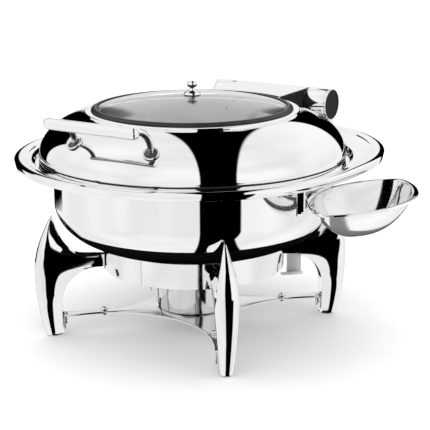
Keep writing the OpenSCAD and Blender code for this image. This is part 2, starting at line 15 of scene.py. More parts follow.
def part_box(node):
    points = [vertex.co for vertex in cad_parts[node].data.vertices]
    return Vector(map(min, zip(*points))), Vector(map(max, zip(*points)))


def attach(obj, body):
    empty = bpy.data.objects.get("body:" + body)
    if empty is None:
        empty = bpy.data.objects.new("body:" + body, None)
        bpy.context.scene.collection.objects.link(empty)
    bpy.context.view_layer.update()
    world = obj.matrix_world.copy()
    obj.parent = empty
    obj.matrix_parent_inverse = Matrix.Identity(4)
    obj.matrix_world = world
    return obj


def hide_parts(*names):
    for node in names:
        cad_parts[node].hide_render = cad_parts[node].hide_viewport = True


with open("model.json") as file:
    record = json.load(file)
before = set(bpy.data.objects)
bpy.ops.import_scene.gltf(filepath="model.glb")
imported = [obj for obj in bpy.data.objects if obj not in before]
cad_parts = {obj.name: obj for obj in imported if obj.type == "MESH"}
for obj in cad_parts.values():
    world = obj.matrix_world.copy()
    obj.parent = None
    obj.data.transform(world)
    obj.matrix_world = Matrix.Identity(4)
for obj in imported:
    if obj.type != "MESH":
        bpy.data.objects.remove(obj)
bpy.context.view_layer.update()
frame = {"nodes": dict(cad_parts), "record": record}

MM = 0.001
BODY_OF = {node: body for body, nodes in frame["record"]["behaviour"]["bodies"].items() for node in nodes}


def box(node):
    """The node's lowest and highest corner, in millimetres."""
    low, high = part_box(node)
    return low / MM, high / MM


# ---- sizes: the driving ones come from the frame ----

pan_low, pan_high = box("water_pan")
RIM_R = pan_high.x
RIM_SETBACK = pan_high.y - RIM_R
BOWL_BOTTOM = pan_low.z
LAND_Z = 256.0
LEDGE_Z = LAND_Z - 8
BOWL_R = 197.0
BOWL_CORNER = (97.0, 64.0)
SHEET = 1.5
GUTTER_R = 221.4
LAND_R = RIM_R - 18

lid_low, lid_high = box("lid_dome")
LID_R = lid_high.x
LID_BASE = lid_low.z
SKIRT_TOP = LEDGE_Z + 10.7
DOME_FLAT_R = 120.0
DOME_H = 61.0
DOME_W = LID_R - DOME_FLAT_R
WINDOW_R = 143.0
SEAT_Z = 315.0
BEZEL_R = WINDOW_R + 8
BEZEL_TOP = SEAT_Z + 4.9

glass_high = box("window_glass")[1]
GLASS_TOP = glass_high.z
GLASS_R = glass_high.x
GLASS_T = 4.0
GLASS_SPHERE = 553.4
KNOB_Z = GLASS_TOP

barrel_low, barrel_high = box("hinge_barrel")
HINGE_Y = (barrel_low.y + barrel_high.y) / 2
HINGE_Z = (barrel_low.z + barrel_high.z) / 2
BARREL_R = (barrel_high.z - barrel_low.z) / 2
BARREL_HALF = barrel_high.x

grip_low, grip_high = box("handle_grip")
GRIP_R = (grip_high.z - grip_low.z) / 2
GRIP_HALF = grip_high.x
GRIP_Y = (grip_low.y + grip_high.y) / 2
GRIP_Z = (grip_low.z + grip_high.z) / 2

ring_low, ring_high = box("support_ring")
RING_R = ring_high.x
LEG_ANGLES = {"leg_front_left": 225, "leg_front_right": 315, "leg_rear_right": 45, "leg_rear_left": 135}

holder_low, holder_high = box("fuel_holder")
HOLDER_R = holder_high.x

shelf_low, shelf_high = box("burner_shelf")
TAB_R = 191.0
STUD_R = 132.0


def dome_z(r):
    """Height of the dome's outer face at radius r."""
    return SKIRT_TOP + DOME_H * math.sqrt(1 - (max(r - DOME_FLAT_R, 0) / DOME_W) ** 2)


def glass_z(r):
    """Height of the glass's outer face at radius r."""
    return GLASS_TOP - GLASS_SPHERE + math.sqrt(GLASS_SPHERE**2 - r * r)


# ---- outlines: lists of 2-D points ----

def arc(centre, radii, start, end, steps):
    """Points of an elliptical arc, angles in degrees."""
    angles = [math.radians(start + (end - start) * i / steps) for i in range(steps + 1)]
    return [(centre[0] + radii[0] * math.cos(a), centre[1] + radii[1] * math.sin(a)) for a in angles]


def curve(a, b, c, d, steps=12):
    """Points of a cubic curve from a to d with handles b and c."""
    points = []
    for i in range(steps + 1):
        t = i / steps
        w = ((1 - t) ** 3, 3 * (1 - t) ** 2 * t, 3 * (1 - t) * t * t, t**3)
        points.append(tuple(sum(k * p[j] for k, p in zip(w, (a, b, c, d))) for j in range(len(a))))
    return points


def rounded(points, radius, closed=False, steps=4):
    """The outline with each corner turned into a small arc. A third number on a point is its own radius."""
    out = []
    n = len(points)
    for i, point in enumerate(points):
        p = Vector(point[:2])
        r = point[2] if len(point) > 2 else radius
        if (not closed and i in (0, n - 1)) or r <= 0:
            out.append(tuple(p))
            continue
        before = Vector(points[i - 1][:2]) - p
        after = Vector(points[(i + 1) % n][:2]) - p
        if before.length < 1e-6 or after.length < 1e-6:
            continue
        corner = before.angle(after)
        reach = min(r / max(math.tan(corner / 2), 1e-3), 0.49 * before.length, 0.49 * after.length)
        start, end = p + before.normalized() * reach, p + after.normalized() * reach
        for k in range(steps + 1):
            t = k / steps
            out.append(tuple(start * (1 - t) ** 2 + p * 2 * t * (1 - t) + end * t * t))
    return out


# ---- shapes: (vertices, faces) ----

def loft(rings, closed=True, wrap=False, caps=True):
    """Faces between rings of points; a ring of one point is a pole."""
    vertices, starts, faces = [], [], []
    for ring in rings:
        starts.append(len(vertices))
        vertices += [tuple(p) for p in ring]
    pairs = list(zip(range(len(rings)), range(1, len(rings))))
    if wrap:
        pairs.append((len(rings) - 1, 0))
    for i, j in pairs:
        m, k = len(rings[i]), len(rings[j])
        count = max(m, k) if closed else max(m, k) - 1
        for v in range(count):
            w = (v + 1) % max(m, k)
            if m == 1:
                faces.append((starts[i], starts[j] + v, starts[j] + w))
            elif k == 1:
                faces.append((starts[i] + v, starts[j], starts[i] + w))
            else:
                faces.append((starts[i] + v, starts[j] + v, starts[j] + w, starts[i] + w))
    if caps and closed and not wrap:
        for i in (0, len(rings) - 1):
            if len(rings[i]) > 2:
                faces.append(tuple(range(starts[i], starts[i] + len(rings[i]))))
    return vertices, faces


def hex_factor(angle):
    """Radius of a regular hexagon with its corners at radius 1, at this angle."""
    return math.cos(math.pi / 6) / math.cos(angle % (math.pi / 3) - math.pi / 6)


def turned(profile, sides=96):
    """A body turned on the Z axis from (r, z) points. (r, z, "hex") makes that point's ring a hexagon.
    The profile is a closed loop unless it starts and ends on the axis."""
    rings = []
    for point in profile:
        r, z = point[:2]
        if r < 1e-6:
            rings.append([(0, 0, z)])
            continue
        ring = []
        for i in range(sides):
            a = 2 * math.pi * i / sides
            k = r * (hex_factor(a) if len(point) > 2 else 1)
            ring.append((k * math.cos(a), k * math.sin(a), z))
        rings.append(ring)
    on_axis = len(rings[0]) == 1 or len(rings[-1]) == 1
    return loft(rings, wrap=not on_axis, caps=False)


def prism(outline, low, high, bevel=0.5, steps=2):
    """A flat plate from an outline in XY, between two heights, with rounded edges."""
    angles = [math.pi / 2 * k / steps for k in range(steps + 1)]
    levels = [(inset(outline, bevel * (1 - math.sin(a))), bevel * (1 - math.cos(a))) for a in angles]
    rings = [[(x, y, low + rise) for x, y in edge] for edge, rise in levels]
    rings += [[(x, y, high - rise) for x, y in edge] for edge, rise in reversed(levels)]
    return loft(rings)


def inset(outline, distance):
    """The closed outline moved inward by a distance, corner by corner."""
    if distance <= 0:
        return list(outline)
    n = len(outline)
    area = sum(outline[i - 1][0] * outline[i][1] - outline[i][0] * outline[i - 1][1] for i in range(n))
    side = 1 if area > 0 else -1
    out = []
    for i in range(n):
        p = Vector(outline[i])
        a = (p - Vector(outline[i - 1])).normalized()
        b = (Vector(outline[(i + 1) % n]) - p).normalized()
        na, nb = Vector((-a.y, a.x)) * side, Vector((-b.y, b.x)) * side
        m = na + nb
        m = m / max(m.length_squared / 2, 0.5)
        out.append(tuple(p + m * distance))
    return out


def bent_strip(path, thickness, width, bend=2.0, edge=0.3):
    """A strip of sheet, bent along a path in XY, as wide as width along Z."""
    line = rounded(path, bend + thickness / 2, steps=6)
    left, right = [], []
    for i, p in enumerate(line):
        a = Vector(line[max(i - 1, 0)])
        b = Vector(line[min(i + 1, len(line) - 1)])
        t = (b - a).normalized()
        n = Vector((-t.y, t.x)) * thickness / 2
        left.append(tuple(Vector(p) + n))
        right.append(tuple(Vector(p) - n))
    return prism(left + right[::-1], -width / 2, width / 2, edge)


def moved(shape, matrix):
    """The shape with its vertices put through a matrix."""
    vertices, faces = shape
    return [tuple(matrix @ Vector(v)) for v in vertices], faces


def merged(shapes):
    """Several shapes as one."""
    vertices, faces = [], []
    for vs, fs in shapes:
        base = len(vertices)
        vertices += vs
        faces += [tuple(base + i for i in f) for f in fs]
    return vertices, faces


def at(x, y, z):
    return Matrix.Translation(Vector((x, y, z)))


def turn(degrees, axis="Z"):
    return Matrix.Rotation(math.radians(degrees), 4, axis)


ALONG_X = turn(90, "Y")   # turns a body on the Z axis onto the X axis
UPRIGHT = turn(90, "X")   # turns an XY outline into the XZ plane
SIDE_ON = Matrix(((0, 0, 1, 0), (1, 0, 0, 0), (0, 1, 0, 0), (0, 0, 0, 1)))   # turns it into YZ, Z along X
SIDES = {"right": Matrix.Identity(4), "left": Matrix.Scale(-1, 4, Vector((1, 0, 0)))}


def both_sides(shape):
    """A shape on the right, and its mirror image on the left."""
    return merged([moved(shape, side) for side in SIDES.values()])


def at_legs(shape):
    """Four copies of a shape that lies along +X, one towards each leg."""
    return merged([moved(shape, turn(a)) for a in LEG_ANGLES.values()])


def placed(name, data, material=None):
    """An object in the scene, with its finish where it has one."""
    if material:
        data.materials.append(material)
    obj = bpy.data.objects.new(name, data)
    bpy.context.scene.collection.objects.link(obj)
    return obj


def piece(name, shape, material, *nodes, sharp=32):
    """Makes the mesh, in metres, gives it its finish, and puts it in place of the CAD nodes."""
    vertices, faces = shape
    mesh = bpy.data.meshes.new(name)
    mesh.from_pydata([tuple(c * MM for c in v) for v in vertices], [], faces)
    bm = bmesh.new()
    bm.from_mesh(mesh)
    bmesh.ops.remove_doubles(bm, verts=bm.verts, dist=1e-7)
    bmesh.ops.dissolve_degenerate(bm, edges=bm.edges, dist=1e-8)
    bmesh.ops.recalc_face_normals(bm, faces=bm.faces)
    bm.to_mesh(mesh)
    bm.free()
    mesh.shade_smooth()
    mesh.set_sharp_from_angle(angle=math.radians(sharp))
    obj = placed(name, mesh, material)
    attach(obj, BODY_OF[nodes[0]])
    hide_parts(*nodes)
    return obj


def refinish(obj, material, chosen):
    """One more finish, for the faces that chosen(centre in millimetres, normal) picks."""
    obj.data.materials.append(material)
    for polygon in obj.data.polygons:
        if chosen(polygon.center / MM, polygon.normal):
            polygon.material_index = len(obj.data.materials) - 1


def finish_node(name, material):
    """A CAD node that stays gets its material."""
    node = frame["nodes"][name]
    for slot in node.material_slots:
        slot.material = material


# ---- materials ----

def add(tree, kind, inputs):
    """Adds a node. Each of its inputs is given a value, or another node's output."""
    node = tree.nodes.new(kind)
    for key, value in inputs.items():
        if isinstance(value, bpy.types.NodeSocket):
            tree.links.new(value, node.inputs[key])
        else:
            node.inputs[key].default_value = value
    return node


def noise(tree, scale, detail=3.0, stretch=(1, 1, 1)):
    """Noise in the object's own space, in features per metre."""
    place = add(tree, "ShaderNodeTexCoord", {}).outputs["Object"]
    mapped = add(tree, "ShaderNodeMapping", {"Vector": place, "Scale": stretch}).outputs["Vector"]
    node = add(tree, "ShaderNodeTexNoise", {"Vector": mapped, "Scale": scale, "Detail": detail})
    return node.outputs["Fac"]


def spread(tree, source, low, high):
    """Maps the middle of a noise onto a range of values."""
    return add(tree, "ShaderNodeMapRange", {"Value": source, "From Min": 0.3, "From Max": 0.7,
                                            "To Min": low, "To Max": high}).outputs["Result"]


def blend(tree, share, first, second):
    """A mix of two colours. The second may be another node's output."""
    mix = tree.nodes.new("ShaderNodeMix")
    mix.data_type = "RGBA"
    tree.links.new(share, mix.inputs["Factor"])
    mix.inputs["A"].default_value = (*first, 1)
    if isinstance(second, bpy.types.NodeSocket):
        tree.links.new(second, mix.inputs["B"])
    else:
        mix.inputs["B"].default_value = (*second, 1)
    return mix.outputs["Result"]


def mottled(tree, scale, light, dark):
    """A colour that drifts between two others."""
    return blend(tree, spread(tree, noise(tree, scale), 0.0, 1.0), light, dark)


def bump(tree, source, strength, distance):
    """The shader's normal, disturbed by a noise."""
    node = add(tree, "ShaderNodeBump", {"Height": source, "Strength": strength, "Distance": distance})
    return node.outputs["Normal"]


def finish(name, inputs):
    """A material whose shader has these inputs: each is a value, or a function that makes nodes for it."""
    material = bpy.data.materials.new(name)
    material.use_nodes = True
    tree = material.node_tree
    shader = tree.nodes["Principled BSDF"]
    for key, value in inputs.items():
        if callable(value):
            tree.links.new(value(tree), shader.inputs[key])
        else:
            shader.inputs[key].default_value = value
    return material


def metal(name, light, dark, rough, wipe=9.0, ripple=0.0, ripple_scale=40.0, grain=None, metallic=1.0,
          under=None):
    """Steel: wiped patches change its roughness and tone a little; grain stretches them into brush lines.
    Less than 1 of metallic gives the chalky look of a scoured surface. under is painted shade on faces that
    look down, darker towards the bottom: its level, and the Z of the normal below which it is full."""
    def colour(tree):
        unshaded = mottled(tree, wipe, light, dark)
        if not under:
            return unshaded
        level, full = under
        # painted shade: faces that look down blend towards the dark level
        normal = add(tree, "ShaderNodeTexCoord", {}).outputs["Normal"]
        up = add(tree, "ShaderNodeSeparateXYZ", {"Vector": normal}).outputs["Z"]
        facing = add(tree, "ShaderNodeMapRange", {"Value": up, "From Min": full, "From Max": full + 0.3})
        return blend(tree, facing.outputs["Result"], (level, level, level), unshaded)

    def roughness(tree):
        fine = noise(tree, grain[0], 4.0, grain[1]) if grain else noise(tree, 6 * wipe)
        return spread(tree, fine, *rough)

    inputs = {"Metallic": metallic, "Base Color": colour, "Roughness": roughness}
    if ripple:
        inputs["Normal"] = lambda tree: bump(tree, noise(tree, ripple_scale, 1.0), ripple, 0.001)
    return finish(name, inputs)


def steel(name, light, dark, rough, **details):
    """Metal in two greys, the darker one a little blue."""
    return metal(name, (light, light, light), (dark, dark + 0.002, dark + 0.005), rough, **details)


def plastic(name, light, dark, rough, texture_scale, texture_strength, shine=0.5):
    """Rubber or moulded plastic with a fine texture."""
    def grain(tree):
        return noise(tree, texture_scale, 2.0)

    return finish(name, {"Specular IOR Level": shine,
                         "Base Color": lambda tree: mottled(tree, 60.0, light, dark),
                         "Roughness": lambda tree: spread(tree, grain(tree), *rough),
                         "Normal": lambda tree: bump(tree, grain(tree), texture_strength, 0.0002)})


def matte(name, scale, light, dark):
    """A dull surface for the studio, in two greys."""
    return finish(name, {"Roughness": 0.9, "Specular IOR Level": 0.0,
                         "Base Color": lambda tree: mottled(tree, scale, [light] * 3, [dark] * 3)})


POLISHED = steel("polished_steel", 0.975, 0.955, (0.015, 0.035))
CAST = steel("cast_leg", 0.96, 0.93, (0.03, 0.055), ripple=0.03)
BAND = steel("band_steel", 0.95, 0.91, (0.05, 0.11), grain=(300.0, (1, 1, 0.05)))
PAN = steel("pan_steel", 0.76, 0.72, (0.3, 0.38), metallic=0.45)
INSIDE = steel("lid_inside", 0.74, 0.7, (0.3, 0.38), metallic=0.45)
# handle_steel and grip_steel paint shade on the faces that look down
HANDLE = steel("handle_steel", 0.97, 0.94, (0.02, 0.04), under=(0.05, -0.25))
GRIP = steel("grip_steel", 0.97, 0.94, (0.02, 0.04), under=(0.25, -0.95))
BRACKET = steel("bracket_steel", 0.84, 0.78, (0.35, 0.45), metallic=0.7)
SHELF = steel("shelf_steel", 0.8, 0.76, (0.1, 0.15))
HOLDER = steel("holder_steel", 0.74, 0.68, (0.09, 0.15), grain=(90.0, (1, 1, 0.05)))
SATIN = steel("satin_steel", 0.94, 0.89, (0.09, 0.16), grain=(160.0, (1, 0.08, 1)), metallic=0.8)
REST = steel("rest_inside", 0.9, 0.84, (0.05, 0.1), grain=(160.0, (1, 0.08, 1)))
PLAIN = metal("plain_steel", (0.7, 0.7, 0.7), (0.6, 0.6, 0.605), (0.25, 0.4), ripple=0.1, ripple_scale=300.0)
FASTENER = metal("fastener", (0.9, 0.9, 0.9), (0.8, 0.8, 0.805), (0.08, 0.16), wipe=80.0)
# dark metal painted into the hollow of each cup boss: painted shade in the recess
RECESS_SHADE = metal("painted_boss_recess_shade", (0.14, 0.14, 0.14), (0.08, 0.081, 0.082), (0.12, 0.2), wipe=60.0)
BRASS = metal("bush_brass", (0.75, 0.58, 0.3), (0.68, 0.5, 0.24), (0.2, 0.3), wipe=90.0)
PAD = plastic("rubber_pad", (0.05, 0.05, 0.052), (0.035, 0.035, 0.036), (0.55, 0.7), 900.0, 0.3)
# the seals' own black rubber, also used as a painted shadow line round the lid's foot
SEAL_AND_SHADE = plastic("seal_rubber", (0.02, 0.02, 0.021), (0.012, 0.012, 0.013), (0.3, 0.45), 700.0, 0.1, 0.25)
# the end caps' own black, also used as a painted dark reflection on the hinge saddle's cheeks
DARK = plastic("dark_plastic", (0.01, 0.01, 0.011), (0.006, 0.006, 0.006), (0.35, 0.5), 500.0, 0.5, 0.06)
GLASS = finish("window_glass", {
    "Transmission Weight": 1.0, "IOR": 1.5, "Roughness": 0.0,
    "Base Color": lambda tree: mottled(tree, 12.0, (0.99, 0.995, 0.995), (0.98, 0.985, 0.985))})


# ---- stand ----

def support_ring():
    """A strip rolled into a ring, with a thin gap where its ends meet."""
    section = rounded([(RING_R - SHEET, ring_low.z), (RING_R, ring_low.z), (RING_R, ring_high.z),
                       (RING_R - SHEET, ring_high.z)], 0.5, closed=True, steps=3)
    steps = 256
    seam = math.degrees(0.3 / RING_R)
    rings = []
    for i in range(steps + 1):
        a = math.radians(270 + seam + (360 - 2 * seam) * i / steps)
        rings.append([(r * math.cos(a), r * math.sin(a), z) for r, z in section])
    piece("ring_band", loft(rings), BAND, "support_ring")


LEG_TIP = (202, 179)
LEG_R = 229.0                     # how far out a leg reaches
LEG_HALF = 16.5                   # half its width where it is widest
FOOT_Z = 6.0                      # where a leg's face ends; its edge rounds off below
PAD_R = 204.0                     # how far out the foot pads are
ARM_LOW, ARM_HIGH = 98.7, 116.4   # a leg's arm, where it meets the ring
ARM_OUTER_SPAN = (112.0, 100.0)   # heights on the outer face that the arm's end face fans out to

# Side view of a leg as (distance from the pan axis, height)
LEG_OUTER = (curve(LEG_TIP, (214, 158), (LEG_R, 128), (LEG_R, 95), 30)
             + curve((LEG_R, 95), (LEG_R, 62), (224, 30), (217, FOOT_Z), 24)[1:])
LEG_CRADLE = (curve(LEG_TIP, (200, 171), (199, 163), (196, 155), 8)
              + curve((196, 155), (184, 124), (170, 113), (140, ARM_HIGH), 26)[1:]
              + [(RING_R + 0.05, ARM_HIGH)])
LEG_UNDER = ([(RING_R + 0.05, ARM_LOW)] + curve((138, ARM_LOW), (172, ARM_LOW), (192.5, 75), (192.5, 50), 26)
             + curve((192.5, 50), (192.4, 33), (191.6, 16), (191, FOOT_Z), 10)[1:])

# Half the leg's width against the height: slender at the foot, widest in the middle, pointed at the tip
LEG_FRONT = [(z, w) for w, z in curve((8.5, 0), (12, 30), (LEG_HALF, 70), (LEG_HALF, 105), 40)
             + curve((LEG_HALF, 105), (LEG_HALF, 135), (6, 160), (1, 180), 40)[1:]]
# Half the width of a leg's arm against the radius, seen from above: it narrows towards the ring
LEG_PLAN = curve((120, 6), (150, 8.5), (180, LEG_HALF), (208, LEG_HALF), 40) + [(240, LEG_HALF)]


def between(line, x):
    """The height of a polyline at x."""
    for (xa, ya), (xb, yb) in zip(line, line[1:]):
        if x <= xb:
            return ya + (yb - ya) * (x - xa) / (xb - xa)
    return line[-1][1]


def resampled(line, count):
    """count points evenly spaced along a polyline."""
    lengths = [0.0]
    for a, b in zip(line, line[1:]):
        lengths.append(lengths[-1] + math.dist(a, b))
    out = []
    k = 0
    for i in range(count):
        s = lengths[-1] * i / (count - 1)
        while k < len(line) - 2 and lengths[k + 1] < s:
            k += 1
        t = (s - lengths[k]) / max(lengths[k + 1] - lengths[k], 1e-9)
        out.append(tuple(a + (b - a) * t for a, b in zip(line[k], line[k + 1])))
    return out


def leg_section(depth, half, share):
    """Half a cross-section, from the nose at (0, 0) round to the middle of the inner face, as (depth, width).
    The nose is broad. The side is nearly flat at share 0, and narrows towards the inner face at share 1."""
    scale = min(1.0, depth / 42)
    nose = 9.0 * scale
    side_radius = (74.0 - 22.0 * share) * scale * half / LEG_HALF
    slope = math.radians(2.0 + 10.5 * share)
    shoulder = half - side_radius * (1 - math.cos(slope))
    points = curve((0, 0), (0, 0.62 * shoulder), (0.27 * nose, shoulder - 0.63 * nose * math.tan(slope)),
                   (nose, shoulder), 14)
    widest = nose + side_radius * math.sin(slope)
    straight = widest + side_radius * math.sin(slope)
    steps = 20
    for i in range(1, steps + 1):
        u = nose + (depth - nose) * i / steps
        if u <= straight:
            width = half - side_radius + math.sqrt(side_radius**2 - (u - widest) ** 2)
        else:
            width = shoulder - (u - straight) * math.tan(slope)
        points.append((u, max(width, 0.35 * half)))
    end_width = points[-1][1]
    corner = min(2.5, 0.3 * depth, 0.4 * end_width)
    keep = [p for p in points if p[0] < depth - corner]
    return rounded(keep + [(depth, end_width, corner), (depth, 0)], 0, steps=6)


def leg_shape():
    """One leg with its arm, along +X: ribs run from the outer face to the cradle, the arm's end and the
    inner face in turn."""
    top = [p for p in LEG_OUTER if p[1] > ARM_OUTER_SPAN[0]] + [(LEG_R - 0.9, ARM_OUTER_SPAN[0])]
    low = [(LEG_R - 0.1, ARM_OUTER_SPAN[1])] + [p for p in LEG_OUTER if p[1] < ARM_OUTER_SPAN[1]]
    ribs = list(zip(resampled(top, 44), resampled(LEG_CRADLE, 44)))[1:]
    ribs += list(zip(resampled([top[-1], low[0]], 7), resampled([LEG_CRADLE[-1], LEG_UNDER[0]], 7)))[1:-1]
    ribs += list(zip(resampled(low, 60), resampled(LEG_UNDER, 60)))
    rings = []
    for (ro, zo), (ri, zi) in ribs:
        depth = math.dist((ro, zo), (ri, zi))
        t = min(max((150 - zo) / 70, 0), 1)
        share = t * t * (3 - 2 * t)
        side = resampled(leg_section(depth, between(LEG_FRONT, zo), share), 44)
        line = side + [(u, -v) for u, v in side[-2:0:-1]]
        direction = ((ri - ro) / depth, (zi - zo) / depth)
        ring = []
        for u, v in line:
            r = ro + u * direction[0]
            limit = 1.09 * between(LEG_PLAN, r)
            v = v / (1 + abs(v / limit) ** 8) ** 0.125
            ring.append((r, v, zo + u * direction[1]))
        rings.append(ring)
    foot = rings[-1]
    middle_x = sum(p[0] for p in foot) / len(foot)
    for drop, keep in ((2.4, 0.97), (4.0, 0.88), (4.9, 0.7)):
        rings.append([(middle_x + (x - middle_x) * keep, y * keep, FOOT_Z - drop) for x, y, _ in foot])
    return loft(rings)


def cap_screw(r, head_r, head_h, length):
    """A socket cap screw along +Z: the head's bearing face is at 0 and its hexagon socket faces -Z."""
    profile = [(0, -head_h * 0.45), (r * 0.8, -head_h * 0.45, "hex"), (r * 0.8, -head_h, "hex")]
    profile += [(r, -head_h), (head_r - 0.7, -head_h), (head_r - 0.2, 0.25 - head_h), (head_r, 0.8 - head_h)]
    profile += [(head_r, -0.3), (head_r - 0.3, 0), (r, 0), (r, length - 0.6), (r - 0.6, length), (0, length)]
    return turned(profile, 48)


def acorn_nut(stud_low):
    """A washer and a domed nut on a stud whose plain nut is below the plate, with the plate's top at 0."""
    dome = arc((0, 3.0), (3.9, 3.9), 0, 90, 8)
    profile = [(0, stud_low), (2.5, stud_low), (2.5, -5), (4.2, -5, "hex"), (4.5, -4.6, "hex")]
    profile += [(4.5, -2.4, "hex"), (4.2, -2, "hex"), (2.5, -2), (2.5, 0), (5.2, 0), (5.4, 0.2), (5.4, 0.7)]
    profile += [(5.2, 0.9), (4.9, 0.9, "hex"), (5.1, 1.2, "hex"), (5.1, 2.8, "hex"), (4.7, 3.2, "hex")]
    return turned(profile + dome[:-1] + [(0, 6.9)], 48)


def stand():
    support_ring()
    shape = leg_shape()
    for name, angle in LEG_ANGLES.items():
        piece("cast_" + name, moved(shape, turn(angle)), CAST, name, sharp=40)
    arm_z = (ARM_LOW + ARM_HIGH) / 2
    screw = moved(cap_screw(2.5, 4.2, 3, 16), at(RING_R - SHEET - 0.2, 0, arm_z) @ ALONG_X)
    pair = merged([moved(screw, at(0, 0, s * 4.6)) for s in (-1, 1)])
    piece("arm_cap_screws", at_legs(pair), FASTENER, "leg_screws")
    pad = turned([(0, 0), (5.2, 0), (5.8, 0.3), (6, 0.9), (6, 3), (0, 3)], 48)
    piece("foot_pad_discs", at_legs(moved(pad, at(PAD_R, 0, 0))), PAD, "foot_pads")


def shelf_outline():
    """A four-armed star: each arm ends in a fold, and a concave arc joins it to the next one."""
    waist, half_tab = 68.0, 11.0
    arm_end = TAB_R - 3.2
    steps = 40
    arms = []
    for a in sorted(LEG_ANGLES.values()):
        towards = Matrix.Rotation(math.radians(a), 2)
        arms.append((a, towards @ Vector((arm_end, -half_tab)), towards @ Vector((arm_end, half_tab))))
    points = []
    for i, (a, start, end) in enumerate(arms):
        next_start = arms[(i + 1) % 4][1]
        middle = Vector((math.cos(math.radians(a + 45)), math.sin(math.radians(a + 45)))) * waist
        chord_mid = (end + next_start) / 2
        sagitta = (chord_mid - middle).length
        half_chord = (next_start - end).length / 2
        radius = (half_chord**2 + sagitta**2) / (2 * sagitta)
        centre = middle + (chord_mid - middle).normalized() * radius
        start_a = math.atan2(*(end - centre).yx)
        end_a = math.atan2(*(next_start - centre).yx)
        sweep = (end_a - start_a) % (2 * math.pi)
        sweep = sweep - 2 * math.pi if sweep > math.pi else sweep
        points.append(tuple(start))
        for k in range(steps):
            t = start_a + sweep * k / steps
            points.append((centre.x + radius * math.cos(t), centre.y + radius * math.sin(t)))
    return points


def shelf():
    plate = prism(shelf_outline(), shelf_high.z - 2, shelf_high.z, 0.35)
    middle_z = shelf_high.z - 1
    tab = bent_strip([(TAB_R - 3.4, middle_z), (TAB_R - 1, middle_z), (TAB_R - 1, shelf_low.z)],
                     2.0, 22.0, bend=1.2, edge=0.35)
    tabs = at_legs(moved(tab, UPRIGHT))
    piece("star_shelf", merged([plate, tabs]), SHELF, "burner_shelf")
    screw_z = 20.0
    screw = moved(cap_screw(2.5, 4.5, 3, 11), at(TAB_R - 2.1, 0, screw_z) @ ALONG_X)
    piece("tab_cap_screws", at_legs(screw), FASTENER, "shelf_tab_screws")
    nut = moved(acorn_nut(-6), at(STUD_R, 0, shelf_high.z))
    piece("acorn_nuts", at_legs(nut), FASTENER, "shelf_dome_nuts")


def hanging_bracket():
    """A web under the arm of the rear right leg, with its foot folded into a shallow channel."""
    inner, outer, bottom = 140.0, 162.0, 66.0
    top = [(r, z - 0.05) for r, z in LEG_UNDER if inner < r < outer]
    web = prism([(inner, bottom), (inner, top[0][1])] + top + [(outer, top[-1][1]), (outer, bottom)],
                -1, 1, 0.3)
    fold = bent_strip([(1, bottom + 1), (-8, bottom + 1), (-8, bottom + 5)], 2.0, 31.0, bend=1.0)
    folded = merged([moved(web, UPRIGHT), moved(fold, at(outer - 15.5, 0, 0) @ SIDE_ON)])
    piece("folded_bracket", moved(folded, turn(45)), BRACKET, "hanging_bracket")


# ---- fuel burner ----

def burner():
    r, low, high = HOLDER_R, holder_low.z, holder_high.z
    wall = rounded([(0, low), (r, low, 2.5), (r, high - 0.4), (r - 0.8, high, 0.4), (r - SHEET, high - 0.4),
                    (r - SHEET, low + SHEET, 2), (0, low + SHEET)], 0.3)
    piece("holder_can", turned(wall, 128), HOLDER, "fuel_holder")
    handle_angle = 213.5
    strap = bent_strip([(1, low + 4), (1, low + 35), (11, low + 40), (11, low + 22)], 2.0, 12.0, bend=2.0)
    piece("holder_strap", moved(strap, turn(handle_angle) @ at(r, 0, 0) @ UPRIGHT), POLISHED, "holder_handle")
    head = turned([(0, -2.2), (1.6, -2.2), (1.6, 1.9), (3.0, 1.9)] + arc((0, 2.1), (3.0, 1.2), 0, 90, 6)[:-1]
                  + [(0, 3.3)], 32)
    rivets = [moved(head, turn(handle_angle) @ at(r, 0, low + h) @ ALONG_X) for h in (9, 30)]
    piece("strap_rivets", merged(rivets), FASTENER, "holder_rivets")
    cover_low, cover_high = box("holder_cover")
    lid = rounded([(22, high), (22, cover_high.z, 0.5), (r, cover_high.z, 0.7), (r, high + 0.02, 0.3),
                   (r - SHEET - 0.2, high + 0.02), (r - SHEET - 0.2, cover_low.z, 0.3),
                   (r - 2 * SHEET, cover_low.z, 0.3), (r - 2 * SHEET, high)], 0.3, closed=True)
    piece("vented_cover", turned(lid, 128), POLISHED, "holder_cover")
    finish_node("flame_damper", BAND)
    finish_node("damper_rivet", FASTENER)


# ---- water pan ----

RIM_SEGMENTS = 128          # in each half circle
RIM_SIDE_SEGMENTS = 8       # in each straight side


def rim_directions():
    """For each vertex around the pan: its direction, and how far it is set back along +Y."""
    around = []
    for first, back, next_back in ((180, 0.0, RIM_SETBACK), (0, RIM_SETBACK, 0.0)):
        for i in range(RIM_SEGMENTS + 1):
            around.append((math.radians(first + 180 * i / RIM_SEGMENTS), back))
        for i in range(1, RIM_SIDE_SEGMENTS):
            around.append((math.radians(first + 180), back + (next_back - back) * i / RIM_SIDE_SEGMENTS))
    return around


def pan_ring(r, z, stadium):
    """A ring of the pan: a circle, or the rim's long outline."""
    ring = []
    for angle, back in rim_directions():
        if not stadium:
            angle, back = math.atan2(LAND_R * math.sin(angle) + back, LAND_R * math.cos(angle)), 0
        ring.append((r * math.cos(angle), r * math.sin(angle) + back, z))
    return ring


